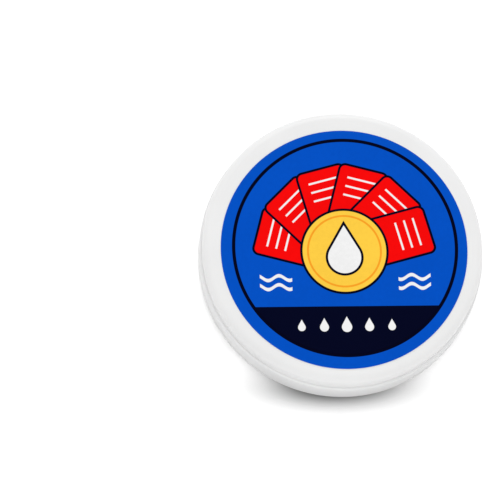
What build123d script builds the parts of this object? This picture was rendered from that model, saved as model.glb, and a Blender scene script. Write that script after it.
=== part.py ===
from build123d import *
import os

# A low round jar of fingertip moistener: a cup half full of a wax-like cake, with a push-on lid and a round
# label on it. Millimetres, +Z up, origin at the centre of the circle that the jar stands on. Every moulding is
# a half section, drawn as radius and height and turned about the Z axis.

# Label
label_diameter = 50.8
label_thickness = 0.12
label_shift_x = 0.2  # label's middle off the lid's, as it was stuck on
label_shift_y = -0.7

# Lid
lid_diameter = 57.8
lid_depth = 4.4  # flat top to seam
lid_panel_thickness = 1.1
lid_skirt_thickness = 0.85
lid_shoulder_radius = 1.7
lid_lip_radius = 0.2  # skirt's outer edge at the seam
lid_lead_in = 0.2  # skirt's inner edge at the seam
seal_ring_depth = 1.6
seal_ring_thickness = 0.9
seal_ring_rounding = 0.3

# Cup, outside
base_height = 8.9  # table to seam
base_overhang = 0.5  # how far the cup stands out past the lid
base_edge_radius = 2.6
base_lip_radius = 0.4  # cup's outer edge at the seam
foot_ring_width = 4.0  # flat ring that the cup stands on
foot_recess_depth = 0.5
foot_ring_rounding = 0.2
gate_dimple_diameter = 5.0
gate_dimple_depth = 0.3
gate_pip_diameter = 1.3
gate_pip_height = 0.2

# Cup, inside and neck
floor_thickness = 1.2
neck_thickness = 0.9
rim_rounding = 0.3
cavity_corner_radius = 2.2
bead_height = 0.15  # friction bead round the neck
bead_width = 0.7
bead_drop = 1.8  # rim down to the middle of the bead

# Fits
bead_clearance = 0.05  # bead to the lid's skirt
seal_clearance = 0.1  # sealing ring to the neck
rim_clearance = 0.15  # rim to the lid's panel
cake_clearance = 0.05  # cake to the cup's wall, drawn in as it sets
cake_corner_relief = 0.2  # how much rounder the cake's lower edge is than the cup's corner

# Cake of moistener
fill_depth = 4.5
cake_dish = 0.35  # sink of the middle below the edge
meniscus_rise = 0.45
meniscus_width = 1.2
meniscus_land = 0.2

# Heights
jar_height = base_height + lid_depth
panel_under = jar_height - lid_panel_thickness
seal_low = panel_under - seal_ring_depth
rim_height = panel_under - rim_clearance
bead_middle = rim_height - bead_drop
floor_top = foot_recess_depth + floor_thickness
fill_height = floor_top + fill_depth

# Radii
lid_radius = lid_diameter / 2
skirt_bore = lid_radius - lid_skirt_thickness
base_radius = lid_radius + base_overhang
bead_radius = skirt_bore - bead_clearance
neck_radius = bead_radius - bead_height
cavity_radius = neck_radius - neck_thickness
seal_radius = cavity_radius - seal_clearance
seal_bore = seal_radius - seal_ring_thickness
recess_radius = base_radius - base_edge_radius - foot_ring_width
cake_radius = cavity_radius - cake_clearance
gate_radius = gate_dimple_diameter / 2
pip_radius = gate_pip_diameter / 2
gate_top = foot_recess_depth + gate_dimple_depth
pip_low = gate_top - gate_pip_height


def corners(section, *places):
    """Vertices of a half section that lie at the given radius and height pairs."""
    return [section.vertices().sort_by_distance((radius, height))[0] for radius, height in places]


with BuildPart() as base_cup:
    with BuildSketch(Plane.XZ) as cup_section:
        with BuildLine():
            outside = Polyline(
                (0, pip_low),
                (pip_radius, pip_low),
                (pip_radius, gate_top),
                (gate_radius, gate_top),
                (gate_radius, foot_recess_depth),
                (recess_radius, foot_recess_depth),
                (recess_radius, 0),
                (base_radius, 0),
                (base_radius, base_height),
                (neck_radius, base_height),
                (neck_radius, bead_middle - bead_width / 2),
            )
            bead = ThreePointArc(
                outside @ 1,
                (bead_radius, bead_middle),
                (neck_radius, bead_middle + bead_width / 2),
            )
            Polyline(
                bead @ 1,
                (neck_radius, rim_height),
                (cavity_radius, rim_height),
                (cavity_radius, floor_top),
                (0, floor_top),
                (0, pip_low),
            )
        make_face()
        fillet(corners(cup_section, (base_radius, 0)), base_edge_radius)
        fillet(corners(cup_section, (base_radius, base_height)), base_lip_radius)
        fillet(corners(cup_section, (cavity_radius, floor_top)), cavity_corner_radius)
        fillet(
            corners(cup_section, (neck_radius, rim_height), (cavity_radius, rim_height)),
            min(rim_rounding, 0.45 * neck_thickness),
        )
        fillet(
            corners(cup_section, (recess_radius, 0), (recess_radius, foot_recess_depth)),
            min(foot_ring_rounding, 0.45 * foot_recess_depth),
        )
    revolve(axis=Axis.Z)

with BuildPart() as moistener_compound:
    with BuildSketch(Plane.XZ) as cake_section:
        with BuildLine():
            dish = TangentArc(
                (0, fill_height - cake_dish),
                (cake_radius - meniscus_width, fill_height),
                tangent=(1, 0),
            )
            meniscus = TangentArc(
                dish @ 1,
                (cake_radius - meniscus_land, fill_height + meniscus_rise),
                tangent=dish % 1,
            )
            Polyline(
                meniscus @ 1,
                (cake_radius, fill_height + meniscus_rise),
                (cake_radius, floor_top),
                (0, floor_top),
                (0, fill_height - cake_dish),
            )
        make_face()
        fillet(corners(cake_section, (cake_radius, floor_top)), cavity_corner_radius + cake_corner_relief)
    revolve(axis=Axis.Z)

with BuildPart() as lid:
    with BuildSketch(Plane.XZ) as lid_section:
        with BuildLine():
            Polyline(
                (0, panel_under),
                (seal_bore, panel_under),
                (seal_bore, seal_low),
                (seal_radius, seal_low),
                (seal_radius, panel_under),
                (skirt_bore, panel_under),
                (skirt_bore, base_height),
                (lid_radius, base_height),
                (lid_radius, jar_height),
                (0, jar_height),
                close=True,
            )
        make_face()
        fillet(corners(lid_section, (lid_radius, jar_height)), lid_shoulder_radius)
        fillet(corners(lid_section, (lid_radius, base_height)), lid_lip_radius)
        fillet(corners(lid_section, (skirt_bore, base_height)), lid_lead_in)
        fillet(
            corners(lid_section, (seal_bore, seal_low), (seal_radius, seal_low)),
            min(seal_ring_rounding, 0.45 * seal_ring_thickness),
        )
    revolve(axis=Axis.Z)

with BuildPart() as top_label:
    with BuildSketch(Plane.XY.offset(jar_height)):
        with Locations((label_shift_x, label_shift_y)):
            Circle(label_diameter / 2)
    extrude(amount=label_thickness)

base_cup.part.label = "base_cup"
moistener_compound.part.label = "moistener_compound"
lid.part.label = "lid"
top_label.part.label = "top_label"

os.makedirs("parts", exist_ok=True)
for piece in (base_cup, moistener_compound, lid, top_label):
    export_step(piece.part, f"parts/{piece.part.label}.step")

cake_volume = moistener_compound.part.volume / 1000
print(f"jar {2 * base_radius:.2f} mm across, {jar_height + label_thickness:.2f} mm high")
print(f"cake {cake_volume:.2f} cubic centimetres")
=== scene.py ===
import math

import bmesh
import bpy
from mathutils import Matrix, Vector, noise


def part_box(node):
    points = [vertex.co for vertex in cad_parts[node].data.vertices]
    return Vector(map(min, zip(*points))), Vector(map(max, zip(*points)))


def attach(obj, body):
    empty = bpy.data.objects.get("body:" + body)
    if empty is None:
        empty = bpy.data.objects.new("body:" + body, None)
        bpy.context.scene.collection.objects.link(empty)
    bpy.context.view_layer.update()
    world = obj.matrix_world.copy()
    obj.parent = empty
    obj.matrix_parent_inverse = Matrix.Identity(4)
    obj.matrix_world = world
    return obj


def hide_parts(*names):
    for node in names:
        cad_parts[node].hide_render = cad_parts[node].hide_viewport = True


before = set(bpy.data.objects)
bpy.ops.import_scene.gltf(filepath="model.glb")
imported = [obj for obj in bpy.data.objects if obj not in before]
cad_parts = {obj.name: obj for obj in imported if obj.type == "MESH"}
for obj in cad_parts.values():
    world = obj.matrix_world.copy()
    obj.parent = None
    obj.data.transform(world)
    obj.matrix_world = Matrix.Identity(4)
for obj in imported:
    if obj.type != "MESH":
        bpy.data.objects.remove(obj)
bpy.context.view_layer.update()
mm = 0.001
mergeReach = 0.0005 * mm      # closes the poles and the seam of a turned mesh
noiseMiddle = 0.5
print("frame loaded:", ", ".join(sorted(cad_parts)))


class Value:  # one socket, so that shader maths reads as plain expressions
    def __init__(self, shader, socket):
        self.shader = shader
        self.socket = socket

    def __add__(self, other):
        return self.shader.maths("ADD", self, other)

    def __sub__(self, other):
        return self.shader.maths("SUBTRACT", self, other)

    def __rsub__(self, other):
        return self.shader.maths("SUBTRACT", other, self)

    def __mul__(self, other):
        return self.shader.maths("MULTIPLY", self, other)

    def __truediv__(self, other):
        return self.shader.maths("DIVIDE", self, other)

    def __rtruediv__(self, other):
        return self.shader.maths("DIVIDE", other, self)

    def __abs__(self):
        return self.shader.maths("ABSOLUTE", self)

    def __gt__(self, other):
        return self.shader.maths("GREATER_THAN", self, other)

    def __lt__(self, other):
        return self.shader.maths("LESS_THAN", self, other)

    __radd__ = __add__
    __rmul__ = __mul__


class Shader:  # the nodes of a material or of the world
    def __init__(self, owner):
        owner.use_nodes = True
        self.tree = owner.node_tree
        self.tree.nodes.clear()

    def node(self, kind, settings=None, inputs=None, output=0):
        made = self.tree.nodes.new("ShaderNode" + kind)
        for name, setting in (settings or {}).items():
            setattr(made, name, setting)
        for name, given in (inputs or {}).items():
            if isinstance(given, Value):
                self.tree.links.new(given.socket, made.inputs[name])
            else:
                made.inputs[name].default_value = given
        return Value(self, made.outputs[output]) if made.outputs else None

    def maths(self, operation, *given, clamp=False):
        return self.node("Math", {"operation": operation, "use_clamp": clamp}, dict(enumerate(given)))

    def least(self, *given):
        found = given[0]
        for other in given[1:]:
            found = self.maths("MINIMUM", found, other)
        return found

    def most(self, *given):
        found = given[0]
        for other in given[1:]:
            found = self.maths("MAXIMUM", found, other)
        return found

    def length(self, across, along):
        return self.maths("SQRT", across * across + along * along)

    def mix(self, share, first, second, blend="MIX"):  # 6 and 7 take the colours, 2 gives the result
        settings = {"data_type": "RGBA", "blend_type": blend}
        return self.node("Mix", settings, {0: share, 6: first, 7: second}, 2)

    def place(self):  # object coordinates in millimetres
        return self.scaled(self.node("TexCoord", output="Object"), 1 / mm)

    def scaled(self, vector, factor):
        return self.node("VectorMath", {"operation": "SCALE"}, {0: vector, 3: factor})

    def settled(self, vector, middle, degrees):  # a pattern's own coordinates, by its middle and turn
        inputs = {"Vector": vector, "Location": middle, "Rotation": (0, 0, math.radians(degrees))}
        return self.node("Mapping", {"vector_type": "TEXTURE"}, inputs)

    def parts(self, vector):
        split = self.node("SeparateXYZ", inputs={0: vector})
        return [Value(self, socket) for socket in split.socket.node.outputs]

    def joined(self, x, y, z):
        return self.node("CombineXYZ", inputs={0: x, 1: y, 2: z})

    def cloud(self, vector, grain, detail=2.0, roughness=0.5):  # noise from 0 to 1, grain in millimetres
        inputs = {"Vector": vector, "Scale": 1 / grain, "Detail": detail, "Roughness": roughness}
        return self.node("TexNoise", inputs=inputs)

    def ramp(self, given, fromLow, fromHigh, toLow, toHigh):
        inputs = {0: given, 1: fromLow, 2: fromHigh, 3: toLow, 4: toHigh}
        return self.node("MapRange", {"interpolation_type": "SMOOTHSTEP"}, inputs)

    def bump(self, height, depth, under=None):  # height runs from 0 to 1, depth is in millimetres
        inputs = {"Height": height, "Distance": depth * mm, "Strength": 1.0}
        if under:
            inputs["Normal"] = under
        return self.node("Bump", inputs=inputs)

    def finish(self, inputs):
        skin = self.node("BsdfPrincipled", inputs=inputs)
        self.node("OutputMaterial", inputs={"Surface": skin})


def newMaterial(name):
    material = bpy.data.materials.new(name)
    return material, Shader(material)


def opaque(red, green, blue):
    return (red, green, blue, 1.0)


def grey(level):
    return opaque(level, level, level)


def coat(piece, material):
    piece.data.materials.clear()
    piece.data.materials.append(material)


# A closed turned mesh from a half section of radius and height in metres, from the axis round to the axis
def turned(section, steps):
    mesh = bmesh.new()
    points = [mesh.verts.new((radius, 0, height)) for radius, height in section]
    edges = [mesh.edges.new(pair) for pair in zip(points, points[1:])]
    bmesh.ops.spin(mesh, geom=points + edges, axis=(0, 0, 1), cent=(0, 0, 0), steps=steps,
                   angle=math.tau, use_merge=True)
    bmesh.ops.remove_doubles(mesh, verts=mesh.verts, dist=mergeReach)
    bmesh.ops.recalc_face_normals(mesh, faces=mesh.faces)
    for face in mesh.faces:
        face.smooth = True
    return mesh


def toObject(name, mesh):
    data = bpy.data.meshes.new(name)
    mesh.to_mesh(data)
    mesh.free()
    piece = bpy.data.objects.new(name, data)
    bpy.context.scene.collection.objects.link(piece)
    return piece


def arc(centreRadius, centreHeight, size, start, end, steps):
    angles = [math.radians(start + (end - start) * k / steps) for k in range(steps + 1)]
    return [(centreRadius + size * math.cos(a), centreHeight + size * math.sin(a)) for a in angles]


# Moulded white plastic, for the lid and the cup
moulding = {
    "tone": 0.86,
    "cloudyTone": 0.835,
    "cloudGrain": 14.0,       # soft clouding in the plastic, mm
    "cloudDetail": 3.0,
    "cloudRange": (0.3, 0.7),  # noise that gives the one tone and the other
    "roughness": 0.36,
    "roughnessSwing": 0.10,
    "streakGrain": 0.16,      # flow streaks that run out from the gate
    "streakDetail": 3.0,
    "streakChange": (0.004, 0.01),  # how fast a streak changes outwards and upwards
    "patchGrain": 3.0,        # patches in the gloss, mm
    "patchDetail": 4.0,
    "grain": 0.45,            # satin grain of the mould, mm
    "grainDetail": 2.0,
    "grainDepth": 0.004,
    "toolRing": 1.1,          # turning marks of the mould, mm apart
    "toolRingDetail": 1.0,
    "toolRingDepth": 0.0025,
    "scuffHeights": (0.1, 0.45),  # foot ring that rubs on the desk, mm, full and no scuffs
    "scuffTone": 0.74,
    "scuffRoughness": 0.25,
    "scratchGrain": 0.9,
    "scratchDetail": 5.0,
    "scratchRoughness": 0.7,
    "scratchLong": 0.25,      # along a scratch
    "scratchFine": 3.0,       # across it
    "scratchRange": (0.5, 0.7),
    "shine": 0.42,
    "bleed": 0.12,
    "bleedReach": (1.0, 0.95, 0.9),
    "bleedScale": 0.8,        # mm
}


def scuffs(shader, x, y, z):  # scratches both ways on the foot ring
    low = shader.ramp(z, *moulding["scuffHeights"], 1.0, 0.0)
    long, fine = moulding["scratchLong"], moulding["scratchFine"]
    noiseKind = moulding["scratchGrain"], moulding["scratchDetail"], moulding["scratchRoughness"]
    across = shader.cloud(shader.joined(x * long, y * fine, z), *noiseKind)
    along = shader.cloud(shader.joined(x * fine, y * long, z), *noiseKind)
    return low * shader.ramp(shader.most(across, along), *moulding["scratchRange"], 0.0, 1.0)


def whitePlastic(name, scuffed):
    material, shader = newMaterial(name)
    place = shader.place()
    x, y, z = shader.parts(place)
    radius = shader.length(x, y)
    clouds = shader.cloud(place, moulding["cloudGrain"], moulding["cloudDetail"])
    cloudy = shader.ramp(clouds, *moulding["cloudRange"], 0.0, 1.0)
    colour = shader.mix(cloudy, grey(moulding["tone"]), grey(moulding["cloudyTone"]))

    # The direction from the axis, drawn out along the radius, gives streaks that fan out from the middle
    outwards, upwards = moulding["streakChange"]
    spread = shader.joined(x / (radius + 1), y / (radius + 1), radius * outwards + z * upwards)
    streaks = shader.cloud(spread, moulding["streakGrain"], moulding["streakDetail"])
    patches = shader.cloud(place, moulding["patchGrain"], moulding["patchDetail"])
    swing = (streaks - noiseMiddle + patches - noiseMiddle) * moulding["roughnessSwing"]
    roughness = swing + moulding["roughness"]

    rings = shader.cloud(shader.joined(radius, z, 0.0), moulding["toolRing"], moulding["toolRingDetail"])
    grain = shader.cloud(place, moulding["grain"], moulding["grainDetail"])
    normal = shader.bump(grain, moulding["grainDepth"], shader.bump(rings, moulding["toolRingDepth"]))
    if scuffed:
        scuff = scuffs(shader, x, y, z)
        colour = shader.mix(scuff, colour, grey(moulding["scuffTone"]))
        roughness = roughness + scuff * moulding["scuffRoughness"]
    shader.finish({
        "Base Color": colour,
        "Roughness": roughness,
        "Normal": normal,
        "Specular IOR Level": moulding["shine"],
        "Subsurface Weight": moulding["bleed"],
        "Subsurface Radius": moulding["bleedReach"],
        "Subsurface Scale": moulding["bleedScale"] * mm,
    })
    return material


coat(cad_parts["base_cup"], whitePlastic("cupPlastic", scuffed=True))
coat(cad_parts["lid"], whitePlastic("lidPlastic", scuffed=False))
print("cup and lid moulded in white plastic")


# Printed label, in millimetres from the label's middle, up the print
label = {
    "steps": 256,
    "rings": 12,
    "cutEdge": 0.03,          # rounding of the die-cut edge
    "cutEdgeSteps": 4,
    "inkSpread": 0.06,        # softness of the ink's edge
    "outline": 0.5,
    "turn": 0.5,              # degrees, as it was stuck on
    "ringMiddle": (0.2, 0.35),
    "ringRadius": 22.9,
    "ringHalf": 0.35,
    "footTop": -12.25,        # straight top of the dark segment
    "fanMiddle": -0.6,
    "fanAngles": (-75, -45, -15, 15, 45, 75),
    "sheetWidth": 9.6,
    "sheetHeight": 15.6,
    "sheetCorner": 1.0,
    "sheetReach": 10.2,       # middle of the fan to the middle of a sheet
    "ruleHeights": (15.6, 13.7, 11.8),
    "ruleHalfLength": 3.0,
    "ruleHalf": 0.2,
    "roundelRadius": 8.6,
    "roundelLine": 7.5,
    "roundelLineHalf": 0.2,
    "dropRadius": 3.4,
    "dropTip": 6.8,
    "dropSink": 1.3,          # drop's middle below the roundel's
    "waveHeights": (-6.2, -8.1),
    "waveMiddle": 14.2,
    "waveHalfLength": 3.3,
    "waveLength": 4.4,
    "waveCrest": 13.6,
    "waveRise": 0.5,
    "waveHalf": 0.36,
    "rowHeight": -16.6,       # row of small drops on the dark segment
    "rowPlaces": (-2, -1, 0, 1, 2),
    "rowStep": 4.6,
    "rowRadius": 1.05,
    "rowTip": 2.2,
    "rowShrink": 0.13,
    "blue": opaque(0.0004, 0.081, 0.545),
    "black": opaque(0.0004, 0.0008, 0.010),
    "navy": opaque(0.0004, 0.0012, 0.0135),
    "red": opaque(0.93, 0.002, 0.002),
    "yellow": opaque(1.0, 0.62, 0.06),
    "amber": opaque(0.95, 0.36, 0.02),
    "white": grey(0.90),
    "mottleFine": (0.8, 3.0),  # uneven ink, grain and detail of its fine and broad noise
    "mottleBroad": (11.0, 2.0),
    "mottleShare": 0.5,
    "mottleRange": (0.3, 0.7),
    "mottleTones": (0.955, 1.03),
    "roughness": 0.50,
    "skin": (1.6, 2.0),       # waves of the varnish, grain and detail
    "skinDepth": 0.006,
    "skinSwing": 0.10,
    "speckle": (0.3, 3.0),    # fine orange peel in it
    "speckleDepth": 0.0012,
    "speckleSwing": 0.06,
    "shine": 0.02,
    "mapFace": (0.5, 0.485),  # middle and reach on the bake's map
    "mapBack": (0.085, 0.08),
    "backNormal": -0.5,       # faces that point down further than this are the back
}


def ink(shader, under, field, colour):  # field is the distance from the shape's edge, below zero inside it
    mask = shader.maths("SUBTRACT", 0.5, field / label["inkSpread"], clamp=True)
    return shader.mix(mask, under, colour)


def boxField(shader, across, along, width, height, corner):
    overX = abs(across) - (width / 2 - corner)
    overY = abs(along) - (height / 2 - corner)
    outside = shader.length(shader.most(overX, 0.0), shader.most(overY, 0.0))
    return outside + shader.least(shader.most(overX, overY), 0.0) - corner


def dropField(shader, across, along, radius, tip):  # a ball drawn up to a point
    sine = radius / tip
    cosine = math.sqrt(1 - sine * sine)
    ball = shader.length(across, along) - radius
    flank = abs(across) * cosine + along * sine - radius
    above = along * cosine - abs(across) * sine > 0.0
    return ball + (flank - ball) * above


def fanSheet(shader, under, x, y, degrees):
    turn = math.radians(degrees)
    across = x * math.cos(turn) - y * math.sin(turn)
    along = x * math.sin(turn) + y * math.cos(turn)
    size = label["sheetWidth"], label["sheetHeight"], label["sheetCorner"]
    sheet = boxField(shader, across, along - label["sheetReach"], *size)
    under = ink(shader, under, sheet - label["outline"], label["black"])
    under = ink(shader, under, sheet, label["red"])
    rows = shader.least(*[abs(along - height) for height in label["ruleHeights"]])
    rules = shader.most(rows - label["ruleHalf"], abs(across) - label["ruleHalfLength"])
    return ink(shader, under, rules, label["white"])


def roundel(shader, under, x, y):
    radius = shader.length(x, y)
    disc = radius - label["roundelRadius"]
    line = abs(radius - label["roundelLine"]) - label["roundelLineHalf"]
    drop = dropField(shader, x, y + label["dropSink"], label["dropRadius"], label["dropTip"])
    under = ink(shader, under, disc - label["outline"], label["black"])
    under = ink(shader, under, disc, label["yellow"])
    under = ink(shader, under, line, label["amber"])
    under = ink(shader, under, drop - label["outline"], label["black"])
    return ink(shader, under, drop, label["white"])


def wavePairs(shader, under, x, y):  # mirrored left and right
    crest = shader.maths("COSINE", (abs(x) - label["waveCrest"]) * (math.tau / label["waveLength"]))
    lines = [abs(y - height - crest * label["waveRise"]) for height in label["waveHeights"]]
    ends = abs(abs(x) - label["waveMiddle"]) - label["waveHalfLength"]
    return ink(shader, under, shader.most(shader.least(*lines) - label["waveHalf"], ends), label["white"])


def dropRow(shader, under, x, y):
    for place in label["rowPlaces"]:
        share = 1 - label["rowShrink"] * abs(place)
        across = x - label["rowStep"] * place
        along = y - label["rowHeight"]
        drop = dropField(shader, across, along, label["rowRadius"] * share, label["rowTip"] * share)
        under = ink(shader, under, drop, label["white"])
    return under


def labelPrint(middle, radius, printHeight):
    material, shader = newMaterial("labelPrint")
    place = shader.place()
    x, y, z = shader.parts(shader.settled(place, middle / mm, label["turn"]))
    ringX, ringY = label["ringMiddle"]
    ringDistance = shader.length(x - ringX, y - ringY) - label["ringRadius"]
    foot = shader.most(y - label["footTop"], ringDistance)
    colour = ink(shader, label["blue"], foot, label["navy"])
    fanY = y - label["fanMiddle"]
    for degrees in label["fanAngles"]:
        colour = fanSheet(shader, colour, x, fanY, degrees)
    colour = roundel(shader, colour, x, fanY)
    colour = wavePairs(shader, colour, x, y)
    colour = dropRow(shader, colour, x, y)
    colour = ink(shader, colour, abs(ringDistance) - label["ringHalf"], label["black"])

    # Solid ink lies a little unevenly, and the cut edge and the back show the white film
    share = label["mottleShare"]
    fine, broad = shader.cloud(place, *label["mottleFine"]), shader.cloud(place, *label["mottleBroad"])
    tone = shader.ramp(fine * share + broad * (1 - share), *label["mottleRange"], *label["mottleTones"])
    colour = shader.mix(1.0, colour, shader.joined(tone, tone, tone), "MULTIPLY")
    cut = radius / mm - label["cutEdge"] - shader.length(x, y)
    under = z - (printHeight / mm - 2 * label["cutEdge"])
    colour = ink(shader, colour, shader.least(cut, under), label["white"])

    skin = shader.cloud(place, *label["skin"])
    speckle = shader.cloud(place, *label["speckle"])
    swing = (skin - noiseMiddle) * label["skinSwing"] + (speckle - noiseMiddle) * label["speckleSwing"]
    shader.finish({
        "Base Color": colour,
        "Roughness": swing + label["roughness"],
        "Normal": shader.bump(skin, label["skinDepth"], shader.bump(speckle, label["speckleDepth"])),
        "Specular IOR Level": label["shine"],
    })
    return material


# The top and the edge fill the map as one disc, and the hidden back gets a corner
def mapForBake(mesh, radius, low, high):
    layer = mesh.loops.layers.uv.new("OFBake")
    reach = radius + high - low
    faceMiddle, faceReach = label["mapFace"]
    backMiddle, backReach = label["mapBack"]
    for face in mesh.faces:
        back = face.normal.z < label["backNormal"]
        for loop in face.loops:
            point = loop.vert.co
            flat = Vector((point.x, point.y))
            if back:
                loop[layer].uv = Vector((backMiddle, backMiddle)) + flat * (backReach / radius)
            else:
                drop = max(0.0, high - point.z)
                stretch = 1 + drop / max(flat.length, label["cutEdge"] * mm)
                loop[layer].uv = Vector((faceMiddle, faceMiddle)) + flat * stretch * (faceReach / reach)


def makeLabel():
    low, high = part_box("top_label")
    middle = Vector(((low.x + high.x) / 2, (low.y + high.y) / 2, 0))
    radius = (high.x - low.x) / 2
    cutEdge = label["cutEdge"] * mm
    rings = [(radius - cutEdge) * k / label["rings"] for k in range(label["rings"])]
    section = [(r, high.z) for r in rings]
    section += arc(radius - cutEdge, high.z - cutEdge, cutEdge, 90, 0, label["cutEdgeSteps"])
    section += [(radius, low.z)]
    section += [(r, low.z) for r in reversed(rings)]
    mesh = turned(section, label["steps"])
    mapForBake(mesh, radius, low.z, high.z)
    bmesh.ops.translate(mesh, vec=middle, verts=mesh.verts)
    piece = toObject("printedLabel", mesh)
    coat(piece, labelPrint(middle, radius, high.z))
    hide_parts("top_label")
    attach(piece, "lid")


makeLabel()
print("label printed")


# Cake of moistener, in millimetres
cake = {
    "steps": 192,
    "dish": 0.35,             # sink of the middle
    "dishRings": 56,
    "meniscusRise": 0.45,
    "meniscusWidth": 1.2,
    "meniscusLand": 0.2,
    "meniscusRings": 7,
    "meniscusCurve": 1.8,     # power by which it rises towards the wall
    "lowerCorner": 2.4,
    "lowerCornerSteps": 8,
    "rippleGrain": 5.5,
    "rippleHeight": 0.12,
    "rippleNoise": (1.0, 2.0, 3),  # fall, step and number of the noise's octaves
    "rippleFade": 2.5,        # calm strip by the wall
    "swirlRadius": 9.0,       # where the last of the pour settled
    "swirlHeight": 0.30,
    "swirlPitch": 2.6,
    "pink": opaque(0.80, 0.545, 0.48),
    "deepPink": opaque(0.75, 0.47, 0.405),
    "cloud": (7.0, 4.0),      # grain and detail of the change between the two pinks
    "cloudRange": (0.35, 0.7),
    # painted shade in the pinholes, its pink and how strongly it is laid on
    "pitShadePink": opaque(0.56, 0.32, 0.27),
    "pitShadeTint": 0.6,
    "pitStep": 1.9,           # pinholes of air that came up as it set, mm
    "pitShare": 0.16,         # how many of the places have one
    "pitEdge": (0.05, 0.12),  # where a pinhole's wall starts and ends, as shares of the step
    "pitDepth": 0.10,
    "roughness": 0.36,
    "fine": (0.3, 4.0, 0.6),  # waxy tooth, its grain, detail and roughness
    "fineDepth": 0.012,
    "fineSwing": 0.12,
    "soft": (2.4, 3.0),       # soft unevenness of the set surface
    "softDepth": 0.04,
    "softSwing": 0.16,
    "shine": 0.45,
    "bleed": 0.35,
    "bleedReach": (1.0, 0.45, 0.35),
    "bleedScale": 1.5,
}


def rippled(point, edge):  # how far the set surface lies off its turned shape, in metres
    radius = math.hypot(point.x, point.y)
    fade = min(1.0, max(0.0, (edge - radius) / (cake["rippleFade"] * mm)))
    place = Vector((point.x, point.y, 0)) / (cake["rippleGrain"] * mm)
    height = noise.fractal(place, *cake["rippleNoise"]) * cake["rippleHeight"]
    swirl = max(0.0, 1 - radius / (cake["swirlRadius"] * mm))
    phase = radius / (cake["swirlPitch"] * mm) * math.tau - math.atan2(point.y, point.x)
    height += math.cos(phase) * cake["swirlHeight"] * swirl * (1 - swirl)
    return height * fade * mm


def waxyPink():
    material, shader = newMaterial("moistenerWax")
    place = shader.place()
    clouds = shader.ramp(shader.cloud(place, *cake["cloud"]), *cake["cloudRange"], 0.0, 1.0)
    colour = shader.mix(clouds, cake["pink"], cake["deepPink"])
    cells = {"Vector": place, "Scale": 1 / cake["pitStep"]}
    lots = shader.parts(shader.node("TexVoronoi", inputs=cells, output="Color"))
    near = shader.ramp(shader.node("TexVoronoi", inputs=cells), *cake["pitEdge"], 1.0, 0.0)
    pits = near * (lots[0] > 1 - cake["pitShare"])
    # Painted shade: the pinholes are coloured darker, as the shade inside them
    colour = shader.mix(pits * cake["pitShadeTint"], colour, cake["pitShadePink"])
    fine = shader.cloud(place, *cake["fine"])
    soft = shader.cloud(place, *cake["soft"])
    swing = (soft - noiseMiddle) * cake["softSwing"] + (fine - noiseMiddle) * cake["fineSwing"]
    uneven = shader.bump(fine, cake["fineDepth"], shader.bump(soft, cake["softDepth"]))
    shader.finish({
        "Base Color": colour,
        "Roughness": swing + cake["roughness"],
        "Normal": shader.bump(1 - pits, cake["pitDepth"], uneven),
        "Specular IOR Level": cake["shine"],
        "Subsurface Weight": cake["bleed"],
        "Subsurface Radius": cake["bleedReach"],
        "Subsurface Scale": cake["bleedScale"] * mm,
    })
    return material


def makeCake():
    low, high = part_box("moistener_compound")
    radius = (high.x - low.x) / 2
    dish = cake["dish"] * mm
    dishEdge = radius - cake["meniscusWidth"] * mm
    landEdge = radius - cake["meniscusLand"] * mm
    fill = high.z - cake["meniscusRise"] * mm
    corner = cake["lowerCorner"] * mm
    section = []
    for k in range(cake["dishRings"] + 1):
        share = k / cake["dishRings"]
        section.append((dishEdge * share, fill - dish * (1 - share * share)))
    for k in range(1, cake["meniscusRings"] + 1):
        share = k / cake["meniscusRings"]
        rise = share ** cake["meniscusCurve"]
        section.append((dishEdge + (landEdge - dishEdge) * share, fill + (high.z - fill) * rise))
    section += [(radius, high.z)]
    section += arc(radius - corner, low.z + corner, corner, 0, -90, cake["lowerCornerSteps"])
    section += [(0, low.z)]
    mesh = turned(section, cake["steps"])
    for vert in mesh.verts:
        if vert.co.z > fill - 2 * dish:  # the set surface, and nothing below it
            vert.co.z += rippled(vert.co, landEdge)
    mesh.normal_update()
    piece = toObject("moistenerCake", mesh)
    coat(piece, waxyPink())
    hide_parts("moistener_compound")
    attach(piece, "cup")


makeCake()
print("cake of moistener set in the cup")


# Floor and light
studio = {
    "floorRadius": 4.0,       # metres
    "floorSegments": 96,
    "floorTone": 0.92,        # as it lights the jar
    "nearShadeTone": 0.1,          # painted shade: the same, darker close to the foot, which keeps the cup darker than the lid
    "nearReach": (29.0, 58.0),  # from the one to the other, mm from the axis
    "floorWhite": 1.5,        # as it is seen
    "skyLevel": 0.79,
    "shadeMiddle": (-1.2, -26.8),  # soft shade under the front of the foot, mm
    "shadeReach": (14.2, 4.1),
    "shadeDepth": 1.0,
}
lamps = {  # level, degrees across, degrees above the floor, degrees from +X towards +Y
    "key": (0.8, 40.0, 34.0, 90.0),
    "fill": (0.5, 60.0, 25.0, 270.0),
}


def seenRays(shader):  # rays that show the backdrop itself, straight or in a reflection
    kinds = "Is Camera Ray", "Is Glossy Ray", "Is Transmission Ray"
    return shader.most(*[shader.node("LightPath", output=kind) for kind in kinds])


def direction(height, heading):  # degrees above the floor, and from +X towards +Y
    rise, turn = math.radians(height), math.radians(heading)
    return Vector((math.cos(rise) * math.cos(turn), math.cos(rise) * math.sin(turn), math.sin(rise)))


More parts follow.
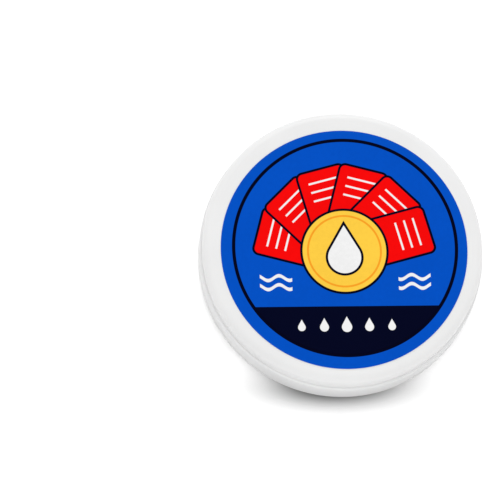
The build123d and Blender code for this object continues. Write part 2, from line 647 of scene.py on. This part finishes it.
def makeFloor():
    mesh = bmesh.new()
    bmesh.ops.create_circle(mesh, cap_ends=True, radius=studio["floorRadius"],
                            segments=studio["floorSegments"])
    floor = toObject("floor", mesh)
    material, shader = newMaterial("paleFloor")
    x, y = shader.parts(shader.place())[:2]
    # Painted shadow: the floor's colour darkens in a soft bell under the front of the foot, for every ray
    shadeX, shadeY = studio["shadeMiddle"]
    reachX, reachY = studio["shadeReach"]
    spread = shader.length((x - shadeX) / reachX, (y - shadeY) / reachY)
    bell = shader.maths("EXPONENT", 0.0 - spread * spread)
    light = shader.maths("SUBTRACT", 1.0, bell * studio["shadeDepth"], clamp=True)
    # Painted shade: the floor's tone, as it lights the jar, drops close to the foot
    near = shader.ramp(shader.length(x, y), *studio["nearReach"], studio["nearShadeTone"], studio["floorTone"])
    tone = shader.joined(near, near, near)
    white = shader.mix(seenRays(shader), tone, grey(studio["floorWhite"]))
    shade = shader.mix(1.0, white, shader.joined(light, light, light), "MULTIPLY")
    shader.finish({"Base Color": shade, "Roughness": 1.0, "Specular IOR Level": 0.0})
    coat(floor, material)


def makeSky():
    world = bpy.data.worlds.new("studio")
    shader = Shader(world)
    colour = shader.mix(seenRays(shader), grey(studio["skyLevel"]), grey(1.0))
    sky = shader.node("Background", inputs={"Color": colour, "Strength": 1.0})
    shader.node("OutputWorld", inputs={"Surface": sky})
    bpy.context.scene.world = world


def makeLamp(name, level, width, height, heading):
    lamp = bpy.data.lights.new(name, "SUN")
    lamp.energy = level
    lamp.angle = math.radians(width)
    towards = direction(height, heading)
    stand = bpy.data.objects.new(name, lamp)
    stand.location = towards
    stand.rotation_euler = towards.to_track_quat("Z", "Y").to_euler()
    bpy.context.scene.collection.objects.link(stand)


makeFloor()
makeSky()
for name, setting in lamps.items():
    makeLamp(name, *setting)
print("floor and light in place")


# Camera, set by where the photograph shows the jar's axis at the top
camera = {
    "tilt": 16.0,             # degrees from the jar's axis
    "heading": 79.0,          # degrees from -X towards -Y
    "lens": 180.0,
    "sensor": 36.0,
    "clipStart": 0.01,        # metres
    "imageWidth": 500,        # pixels
    "axisPixel": (343.3, 245.0),
    "pixelsPerMm": 4.88,
}


def makeCamera():
    back = -direction(camera["tilt"] - 90, camera["heading"])  # from the jar to the camera
    up = back.cross(Vector((1, 0, 0))).normalized()
    right = up.cross(back)
    perMetre = camera["pixelsPerMm"] / mm
    focal = camera["lens"] / camera["sensor"] * camera["imageWidth"]
    column, row = (pixel - camera["imageWidth"] / 2 for pixel in camera["axisPixel"])
    middle = Vector((0, 0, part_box("top_label")[1].z))
    place = middle + back * (focal / perMetre) - right * (column / perMetre) + up * (row / perMetre)
    lens = bpy.data.cameras.new("camera")
    lens.lens = camera["lens"]
    lens.sensor_width = camera["sensor"]
    lens.clip_start = camera["clipStart"]
    eye = bpy.data.objects.new("camera", lens)
    eye.matrix_world = Matrix.Translation(place) @ Matrix((right, up, back)).transposed().to_4x4()
    bpy.context.scene.collection.objects.link(eye)
    bpy.context.scene.camera = eye


makeCamera()
bpy.context.scene.view_settings.view_transform = "Standard"
print("camera set")
